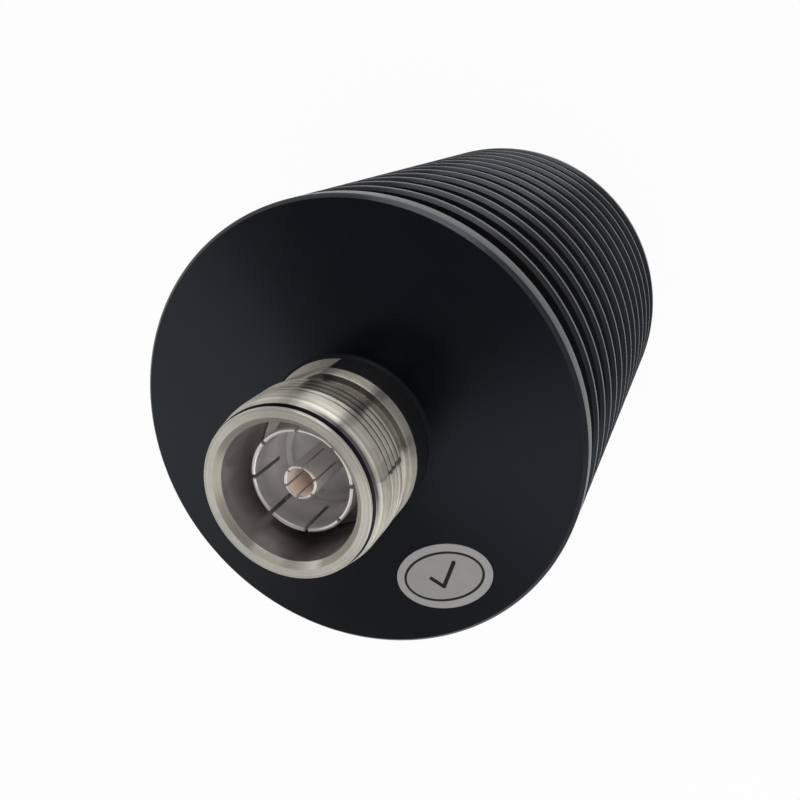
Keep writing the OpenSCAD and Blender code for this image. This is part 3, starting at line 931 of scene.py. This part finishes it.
def contact_finish(name, plate, outside, inside, bore, wall, top, shade, slot):
    """Contact plating, bright at the tips, with painted shade on the slots' walls and painted light
    inside, in a lighter colour of its own.

    The bore, the wall and the top give the inner and the outer radius and the height of the tips.
    The shade makes the bore darker near the tips than further in, and the slot says how dark the
    painted shade on the slots' walls is.
    """
    paint = Paint(bpy.data.materials.new(name))
    bore, wall, top = bore / MM, wall / MM, top / MM
    x, y, z, radius = paint.place()
    lathe = paint.noise(radius, z, 0.0, scale=14.0, detail=3.0, roughness=0.6)
    blotch = paint.noise(x, y, z, scale=0.8)
    tip = paint.ease(z, top - 0.16, top - 0.06)
    bored = paint.ease(bore - radius, -0.1, -0.03) * (1 - tip)
    slotted = paint.between(radius, bore + 0.1, wall - 0.04) * (z < top - 0.25)
    # Painted light deep in the bore, darker near the tips
    deep = paint.blend(paint.ease(z, top - 5.0, top - 1.0), solid(inside), solid(inside, shade))
    plating = paint.coats(
        solid(outside),
        (bored, deep),
        (tip, solid(plate)),
        # Painted shade on the slots' walls
        (slotted * slot, solid(inside, 0.08)),
        (paint.ease(blotch, 0.4, 0.8) * 0.2, solid(inside, 0.7)),
    )
    return paint.surface(
        {
            "Base Color": plating,
            "Metallic": tip,
            "Roughness": 0.45 - tip * 0.15 + (lathe - 0.5) * 0.1 + (blotch - 0.5) * 0.1,
            "Anisotropic": 0.4,
            "Anisotropic Rotation": LATHE_TURN,
            "Normal": paint.bump(lathe, distance=0.004, strength=0.5),
        }
    )


def inner_finish(name, rgb, rough, grain, metallic=0.0):
    """Plain finish with turning lines and a mottled colour, for beads and inner pieces."""
    paint = Paint(bpy.data.materials.new(name))
    x, y, z, radius = paint.place()
    lathe = paint.noise(radius, z, 0.0, scale=grain, detail=3.0, roughness=0.6)
    mottle = paint.noise(x, y, z, scale=0.7, detail=3.0, roughness=0.55)
    return paint.surface(
        {
            "Base Color": paint.mottled(mottle, rgb, 0.82, 1.15),
            "Metallic": metallic,
            "Roughness": rough + (lathe - 0.5) * 0.15,
            "Normal": paint.bump(lathe, distance=0.005, strength=0.5),
        }
    )


def sticker_finish(s):
    """Silver-grey film with a printed oval and a tick."""
    paint = Paint(bpy.data.materials.new("sticker_film"))
    mm = millimetres(s)
    x, y, z = paint.place()[:3]
    centre = (STICKER_LOW + STICKER_HIGH) / 2 / MM
    dx, dy = x - centre.x, y - centre.y
    cos, sin = math.cos(s.turned), math.sin(s.turned)
    u = dx * cos + dy * sin
    v = dy * cos - dx * sin

    def distance(across, up):
        """Distance of two legs."""
        return (across**2.0 + up**2.0) ** 0.5

    def stroke(start, end):
        """Distance from the straight line between two points."""
        px, py = u - start[0], v - start[1]
        ex, ey = end[0] - start[0], end[1] - start[1]
        along = (px * ex + py * ey) / (ex * ex + ey * ey)
        along = paint.math("MINIMUM", paint.most(along, 0.0), 1.0)
        return distance(px - along * ex, py - along * ey)

    wide, high = mm.half_width - mm.margin, mm.half_height - mm.margin
    reach = distance(u / wide, v / high)
    slope = distance(u / (wide * wide), v / (high * high))
    oval = abs(reach - 1.0) * reach / paint.most(slope, 0.01)
    tick = paint.math("MINIMUM", stroke(TICK[0], TICK[1]), stroke(TICK[1], TICK[2]))
    printed = paint.most(
        1 - paint.ease(oval, mm.line * 0.7, mm.line * 1.3),
        1 - paint.ease(tick, mm.line * 1.4, mm.line * 1.8),
    )
    grain = paint.noise(x, y, z, scale=9.0, roughness=0.6)
    cloud = paint.noise(x, y, z, scale=0.5)
    film = paint.mottled(cloud * 0.6 + grain * 0.4, s.film, 0.88, 1.12)
    film = paint.blend(reach < 1.0, film, solid(s.field), "MULTIPLY")
    return paint.surface(
        {
            "Base Color": paint.blend(printed, film, solid(s.ink)),
            "Metallic": 0.25 * (1 - printed),
            "Roughness": 0.42 + (grain - 0.5) * 0.12,
            "Specular IOR Level": 0.25,
            "Normal": paint.bump(grain, distance=0.004, strength=0.4),
        }
    )


# Operators


class DUMMY_LOAD_OT_finned_body(Operator):
    """Builds the black body with its end plates, fins and neck"""

    bl_idname = "dummy_load.finned_body"
    bl_label = "Finned Body"

    def execute(self, context):
        s = context.scene.finned_body
        gaps = s.front - s.front_plate - s.rear_plate - s.fin_count * s.fin_thickness
        gap = gaps / (s.fin_count + 1)
        corners = self.plate(s, 0, 0, s.rear_plate, s.bevel_width, s.bevel_height)
        for i in range(s.fin_count):
            floor = s.rear_plate + gap + i * (gap + s.fin_thickness)
            top = floor + s.fin_thickness
            corners += [[s.core_radius, floor - gap, 0]]
            corners += self.plate(s, s.core_radius, floor, top, s.bevel_width, s.bevel_height)
        floor = s.front - s.front_plate
        corners += [[s.core_radius, floor - gap, 0]]
        corners += self.plate(s, s.core_radius, floor, s.front, s.front_chamfer, s.front_chamfer)
        corners += [[s.neck_radius, s.front, s.neck_cove], [s.neck_radius, s.flat_floor, 0]]
        body = rounded(corners)
        outline = np.vstack([body, self.neck(s, context.scene.coupling.spigot_radius + FIT)])
        angles = turn_angles(BODY_STEPS, flat_edges(s.neck_radius, s.flat_offset, s.flat_turn))
        radius = np.repeat(outline[:, :1], len(angles), 1)
        cut = flattened(radius, angles, s.flat_offset, s.flat_turn)
        milled = np.arange(len(outline))[:, None] >= len(body)
        radius = np.where(milled, cut, radius)
        finish = anodised_finish(s)
        add_turned(
            "finned_body", radius, outline[:, 1:], angles, finish, "heat_sink", "black_anodised"
        )
        return {"FINISHED"}

    def plate(self, s, inner, floor, top, width, height):
        """Corners of a fin or an end plate: square behind, and cut off at its front edge."""
        return [
            [inner, floor, 0],
            [s.radius, floor, s.rim_round],
            [s.radius, top - height, s.edge_round],
            [s.radius - width, top, s.edge_round],
        ]

    def neck(self, s, hole):
        """Outline of the neck from the flats' shoulder up, and of the hole down to its floor."""
        seat = s.neck_top - s.seat_depth
        return rounded(
            [
                [s.neck_radius, s.flat_floor, 0],
                [s.neck_radius, s.neck_top, s.neck_round],
                [s.seat_radius, s.neck_top, 0],
                [s.seat_radius, seat, 0],
                [hole, seat, 0],
                [hole, COUPLING_LOW.z, 0],
                [s.bore_radius, COUPLING_LOW.z, 0],
                [s.bore_radius, s.bore_floor, 0],
                [0, s.bore_floor, 0],
            ]
        )


class DUMMY_LOAD_OT_coupling(Operator):
    """Builds the nickel coupling with its collar, thread, pilot, groove, lip and mouth"""

    bl_idname = "dummy_load.coupling"
    bl_label = "Coupling"

    rows_per_turn = 20

    def execute(self, context):
        s = context.scene.coupling
        body = context.scene.finned_body
        rear = self.rear(s, body.neck_top)
        rows = int(round((s.thread_top - s.thread_floor) / s.thread_pitch * self.rows_per_turn))
        heights = np.linspace(s.thread_floor, s.thread_top, rows + 1)[1:-1]
        thread = np.stack([np.full_like(heights, s.thread_radius), heights], -1)
        outline = np.vstack([rear, thread, self.front(s)])
        angles = turn_angles(
            COUPLING_STEPS, flat_edges(s.collar_radius, body.flat_offset, body.flat_turn)
        )
        height = outline[:, 1:]
        radius = np.repeat(outline[:, :1], len(angles), 1)
        row = np.arange(len(outline))[:, None]
        threaded = (row >= len(rear)) & (row < len(rear) + len(thread))
        radius = np.where(threaded, radius - thread_cut(s, height, angles), radius)
        collar = (row < len(rear)) & (height <= s.collar_top + SAME_POINT)
        flat = flattened(radius, angles, body.flat_offset, body.flat_turn)
        radius = np.where(collar, flat, radius)
        add_turned(
            "coupling", radius, height, angles, nickel_finish(s), "connector_body", "nickel"
        )
        return {"FINISHED"}

    def rear(self, s, seat):
        """Outline from the bore round the spigot, the collar and the relief to the thread."""
        return rounded(
            [
                [s.line_radius, RING_LOW.z, 0],
                [s.line_radius, COUPLING_LOW.z, 0],
                [s.spigot_radius, COUPLING_LOW.z, 0],
                [s.spigot_radius, seat, 0],
                [s.collar_radius, seat, s.edge_round],
                [s.collar_radius, s.collar_top, s.soft_round],
                [s.relief_radius, s.collar_top, s.soft_round],
                [s.relief_radius, s.thread_floor - s.runout, s.crisp_round],
                [s.thread_radius - s.thread_depth, s.thread_floor, 0],
            ]
        )

    def front(self, s):
        """Outline from the thread over pilot, groove and lip to the mouth and the ring's seat."""
        foot = s.foot_radius + FIT
        return rounded(
            [
                [s.thread_radius, s.thread_top, 0],
                [s.thread_radius, s.lead_floor, s.lead_round],
                [s.lead_radius, s.pilot_top, s.edge_round],
                [s.groove_radius, s.pilot_top, s.crisp_round],
                [s.groove_radius, s.groove_top, s.crisp_round],
                [s.lip_radius, s.groove_top, s.crisp_round],
                [s.lip_radius, s.lip_top, s.lip_round],
                [s.mouth_radius + s.mouth_chamfer, s.lip_top, s.fine_round],
                [s.mouth_radius, s.lip_top - s.mouth_chamfer, s.fine_round],
                [s.mouth_radius, s.mouth_floor, s.broad_round],
                [foot, s.mouth_floor, 0],
                [foot, RING_LOW.z, 0],
                [s.line_radius, RING_LOW.z, 0],
            ]
        )


class DUMMY_LOAD_OT_contacts(Operator):
    """Builds the slotted ring and the slotted socket in the mouth"""

    bl_idname = "dummy_load.contacts"
    bl_label = "Contacts"

    def execute(self, context):
        s = context.scene.coupling
        self.add_ring(s)
        self.add_socket(s)
        return {"FINISHED"}

    def add_ring(self, s):
        """The springy ring on its foot."""
        outer, inner, top = s.ring_radius, s.ring_radius - s.ring_wall, RING_HIGH.z
        tip = finger_outline(outer, inner, s.ring_slot_floor, top, s.broad_round)
        base = rounded(
            [
                [inner, s.ring_slot_floor, 0],
                [inner, RING_LOW.z, 0],
                [s.foot_radius, RING_LOW.z, 0],
                [s.foot_radius, s.mouth_floor, s.fine_round],
                [outer, s.mouth_floor, s.edge_round],
                [outer, s.ring_slot_floor, 0],
            ]
        )
        sleeve = slotted_sleeve(tip, base, s.ring_slots, s.ring_slot, s.ring_turn, RING_STEPS)
        tones = s.plate, s.plate, s.ring_inside
        finish = contact_finish("contact_plate", *tones, inner, outer, top, shade=0.40, slot=0.55)
        add_piece("slotted_ring", *sleeve, finish, "outer_contact", "contact_plate")

    def add_socket(self, s):
        """The socket, with the waist, the inner conductor and the tail pin behind it."""
        outer, inner, top = s.socket_radius, s.socket_bore, SOCKET_HIGH.z
        tip = finger_outline(outer, inner, s.socket_slot_floor, top, s.socket_round)
        base = rounded(
            [
                [inner, s.socket_slot_floor, 0],
                [inner, s.socket_floor, s.edge_round],
                [0, s.socket_floor, 0],
                [0, SOCKET_LOW.z, 0],
                [s.tail_radius, SOCKET_LOW.z, s.soft_round],
                [s.tail_radius, s.tail_top, 0],
                [s.inner_radius, s.tail_top, s.edge_round],
                [s.inner_radius, BEAD_LOW.z, s.fine_round],
                [s.waist_radius, BEAD_LOW.z, 0],
                [s.waist_radius, BEAD_HIGH.z, 0],
                [outer, BEAD_HIGH.z, s.fine_round],
                [outer, s.socket_slot_floor, 0],
            ]
        )
        cut = s.socket_slots, s.socket_slot, s.socket_turn
        sleeve = slotted_sleeve(tip, base, *cut, SOCKET_STEPS)
        tones = s.plate, s.socket_outside, s.socket_inside
        finish = contact_finish("contact_metal", *tones, inner, outer, top, shade=1.0, slot=0.2)
        add_piece("slotted_socket", *sleeve, finish, "centre_contact", "contact_metal")


class DUMMY_LOAD_OT_beads(Operator):
    """Builds the bead at the bottom of the mouth and the ring that keeps it there"""

    bl_idname = "dummy_load.beads"
    bl_label = "Beads"

    def execute(self, context):
        s = context.scene.inner_pieces
        waist = context.scene.coupling.waist_radius + FIT
        eye = KEEPER_HIGH.x - s.keeper_width
        plastic = inner_finish("bead_plastic", s.bead, rough=0.32, grain=4.0)
        # The keeper's pale, plain finish in place of nickel is painted light for its corner.
        plated = inner_finish("keeper_nickel", s.keeper, rough=0.45, grain=11.0)
        angles = turn_angles(BEAD_STEPS)
        for name, low, high, hole, *dress in (
            ("mouth_bead", BEAD_LOW, BEAD_HIGH, waist, plastic, "front_bead", "bead_plastic"),
            ("bead_keeper", KEEPER_LOW, KEEPER_HIGH, eye, plated, "bead_ring", "nickel"),
        ):
            middle = (low.z + high.z) / 2
            outline = rounded(
                [
                    [hole, middle, 0],
                    [hole, low.z, s.hole_round],
                    [high.x, low.z, s.bead_round],
                    [high.x, high.z, s.bead_round],
                    [hole, high.z, s.hole_round],
                    [hole, middle, 0],
                ]
            )
            add_turned(name, outline[:, :1], outline[:, 1:], angles, *dress)
        return {"FINISHED"}


class DUMMY_LOAD_OT_sticker(Operator):
    """Builds the oval sticker on the front face"""

    bl_idname = "dummy_load.sticker"
    bl_label = "Sticker"

    def execute(self, context):
        s = context.scene.sticker
        centre = (STICKER_LOW + STICKER_HIGH) / 2
        angles = turn_angles(STICKER_STEPS)
        # Ovals from the middle of the upper face over the rounded edge to the middle of the lower
        # face: x = (half width - inset) cos a and y = (half height - inset) sin a, at a share of
        # the film's thickness.
        inset = np.array([2.0, 1.2, 0.5, 0.05, 0.015, 0.0, 0.0, 0.5, 2.0]) * MM
        lift = np.array([1.0, 1.0, 1.0, 1.0, 1.0, 0.85, 0.5, 0.0, 0.0, 0.0, 0.0])[:, None]
        wide = np.r_[0.0, s.half_width - inset, 0.0][:, None] * np.cos(angles)
        high = np.r_[0.0, s.half_height - inset, 0.0][:, None] * np.sin(angles)
        cos, sin = math.cos(s.turned), math.sin(s.turned)
        x = centre.x + wide * cos - high * sin
        y = centre.y + wide * sin + high * cos
        z = STICKER_LOW.z + lift * (STICKER_HIGH.z - STICKER_LOW.z)
        points = np.stack(np.broadcast_arrays(x, y, z), -1).reshape(-1, 3)
        faces = grid_faces(len(lift), len(angles))
        finish = sticker_finish(s)
        add_piece("oval_sticker", points, faces, finish, "inspection_sticker", "sticker_film")
        return {"FINISHED"}


class DUMMY_LOAD_OT_inner_pieces(Operator):
    """Gives the pieces inside the body their finishes"""

    bl_idname = "dummy_load.inner_pieces"
    bl_label = "Inner Pieces"

    def execute(self, context):
        s = context.scene.inner_pieces
        brass = inner_finish("liner_brass", s.brass, rough=0.3, grain=10.0, metallic=1.0)
        steel = inner_finish("spring_steel", s.steel, rough=0.28, grain=12.0, metallic=1.0)
        copper = inner_finish("copper", s.copper, rough=0.32, grain=10.0, metallic=1.0)
        for node, material in (
            ("neck_seal", inner_finish("seal_rubber", s.rubber, rough=0.6, grain=5.0)),
            ("spring_washer", steel),
            ("taper_liner", brass),
            ("input_cap", brass),
            ("line_bead", inner_finish("line_bead_plastic", s.bead, rough=0.4, grain=4.0)),
            ("resistor_rod", inner_finish("film_ceramic", s.film, rough=0.45, grain=8.0)),
            ("ground_cap", copper),
            ("thermal_foil", inner_finish("foil", s.foil, rough=0.5, grain=6.0, metallic=1.0)),
        ):
            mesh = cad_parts[node].data
            mesh.materials.clear()
            mesh.materials.append(material)
        return {"FINISHED"}


class DUMMY_LOAD_OT_stage(Operator):
    """Sets up the floor, the light and the camera"""

    bl_idname = "dummy_load.stage"
    bl_label = "Stage"

    def execute(self, context):
        s = context.scene.studio
        self.lay_floor(s)
        self.light_room(context, s)
        self.hang_lamps(s)
        self.set_camera(context, s)
        context.scene.view_settings.view_transform = "Standard"
        return {"FINISHED"}

    def lay_floor(self, s):
        """A flat disc at the height the part stands on: rings of growing radius round the axis."""
        rings = s.floor_radius * np.linspace(0, 1, FLOOR_RINGS)[:, None] ** 2
        points = turned_grid(rings, 0.0, turn_angles(FLOOR_STEPS))
        mesh = closed_mesh("floor", points, grid_faces(FLOOR_RINGS, FLOOR_STEPS))
        if mesh.polygons[0].normal.z < 0:
            mesh.flip_normals()
        mesh.materials.append(self.floor_finish(s))
        floor = linked("floor", mesh)

    def floor_finish(self, s):
        """Pale and matt, and nearly white where the camera or a reflection sees it."""
        paint = Paint(bpy.data.materials.new("pale_floor"))
        x, y, z = paint.place()[:3]
        cloud = paint.noise(x, y, z, scale=0.02)
        path = paint.node("ShaderNodeLightPath")
        rays = ("Is Camera Ray", "Is Glossy Ray", "Is Transmission Ray")
        seen = paint.most(*(path.out(ray) for ray in rays))
        pale = paint.mottled(cloud, s.floor, 0.98, 1.02)
        matt = paint.node("ShaderNodeBsdfDiffuse", inputs={"Color": pale})
        white = {"Color": (1.0, 1.0, 1.0, 1.0), "Strength": 1.0}
        glow = paint.node("ShaderNodeEmission", inputs=white)
        mixed = paint.node("ShaderNodeMixShader", inputs={0: seen * s.glow, 1: matt, 2: glow})
        paint.node("ShaderNodeOutputMaterial", inputs={"Surface": mixed})
        return paint.owner

    def light_room(self, context, s):
        """Soft light all round, with panels low down and bright and dim patches higher up."""
        paint = Paint(bpy.data.worlds.new("studio"))
        direction = paint.node("ShaderNodeTexCoord", out="Generated")
        parts = paint.node("ShaderNodeSeparateXYZ", inputs={"Vector": direction})
        bearing = paint.math("ARCTAN2", parts.out("Y"), parts.out("X")) / math.tau + 0.5
        stops = [(degrees / 360 + 0.5, solid(s.panel, level)) for degrees, level in PANELS]
        panels = paint.node("ShaderNodeValToRGB", {"stops": stops}, {"Fac": bearing})
        sky = paint.blend(paint.ease(parts.out("Z"), 0.3, 0.6), panels, solid(s.room))
        for middle, spread, edge, tone in PATCHES:
            towards = paint.node(
                "ShaderNodeVectorMath",
                {"operation": "DOT_PRODUCT"},
                {0: direction, 1: Vector(middle).normalized()},
                out="Value",
            )
            far, near = (math.cos(math.radians(spread + side)) for side in (edge, -edge))
            sky = paint.blend(paint.ease(towards, far, near), sky, solid(tone))
        light = paint.node("ShaderNodeBackground", inputs={"Color": sky, "Strength": s.level})
        paint.node("ShaderNodeOutputWorld", inputs={"Surface": light})
        context.scene.world = paint.owner

    def hang_lamps(self, s):
        """Soft boxes, each turned to the front of the part."""
        aim = Vector((0.0, 0.0, s.aim))
        for name, place, size, power in LAMPS:
            lamp = bpy.data.lights.new(name, "AREA")
            lamp.shape = "SQUARE"
            lamp.size = size
            lamp.energy = power
            box = linked(name, lamp)
            box.location = place
            box.rotation_euler = (Vector(place) - aim).to_track_quat("Z", "Y").to_euler()

    def set_camera(self, context, s):
        """The photographed view."""
        camera = bpy.data.cameras.new("camera")
        camera.sensor_width = s.sensor
        camera.lens = s.lens
        camera.shift_x = s.shift_x
        camera.shift_y = s.shift_y
        camera.clip_start = s.near
        camera.clip_end = s.far
        holder = linked("camera", camera)
        holder.location = s.camera_place
        holder.rotation_euler = s.camera_turn
        context.scene.camera = holder


class DUMMY_LOAD_PT_panel(Panel):
    """Lists the steps that build the dummy load"""

    bl_label = "Dummy Load"
    bl_idname = "DUMMY_LOAD_PT_panel"
    bl_space_type = "VIEW_3D"
    bl_region_type = "UI"
    bl_category = "Dummy Load"

    def draw(self, context):
        for step in STEPS:
            self.layout.operator(step.bl_idname)


SETTINGS = {
    "finned_body": FinnedBodySettings,
    "coupling": CouplingSettings,
    "sticker": StickerSettings,
    "inner_pieces": InnerSettings,
    "studio": StageSettings,
}
STEPS = (
    DUMMY_LOAD_OT_finned_body,
    DUMMY_LOAD_OT_coupling,
    DUMMY_LOAD_OT_contacts,
    DUMMY_LOAD_OT_beads,
    DUMMY_LOAD_OT_sticker,
    DUMMY_LOAD_OT_inner_pieces,
    DUMMY_LOAD_OT_stage,
)


def register():
    """Makes the settings, the steps and the panel known to Blender."""
    for name, group in SETTINGS.items():
        bpy.utils.register_class(group)
        setattr(bpy.types.Scene, name, PointerProperty(type=group))
    for step in (*STEPS, DUMMY_LOAD_PT_panel):
        bpy.utils.register_class(step)


def unregister():
    """Takes back what register did."""
    for step in (DUMMY_LOAD_PT_panel, *reversed(STEPS)):
        bpy.utils.unregister_class(step)
    for name, group in SETTINGS.items():
        delattr(bpy.types.Scene, name)
        bpy.utils.unregister_class(group)


def main():
    """Builds every piece and the stage."""
    register()
    bpy.ops.dummy_load.finned_body()
    bpy.ops.dummy_load.coupling()
    bpy.ops.dummy_load.contacts()
    bpy.ops.dummy_load.beads()
    bpy.ops.dummy_load.sticker()
    bpy.ops.dummy_load.inner_pieces()
    bpy.ops.dummy_load.stage()


if __name__ == "__main__":
    main()
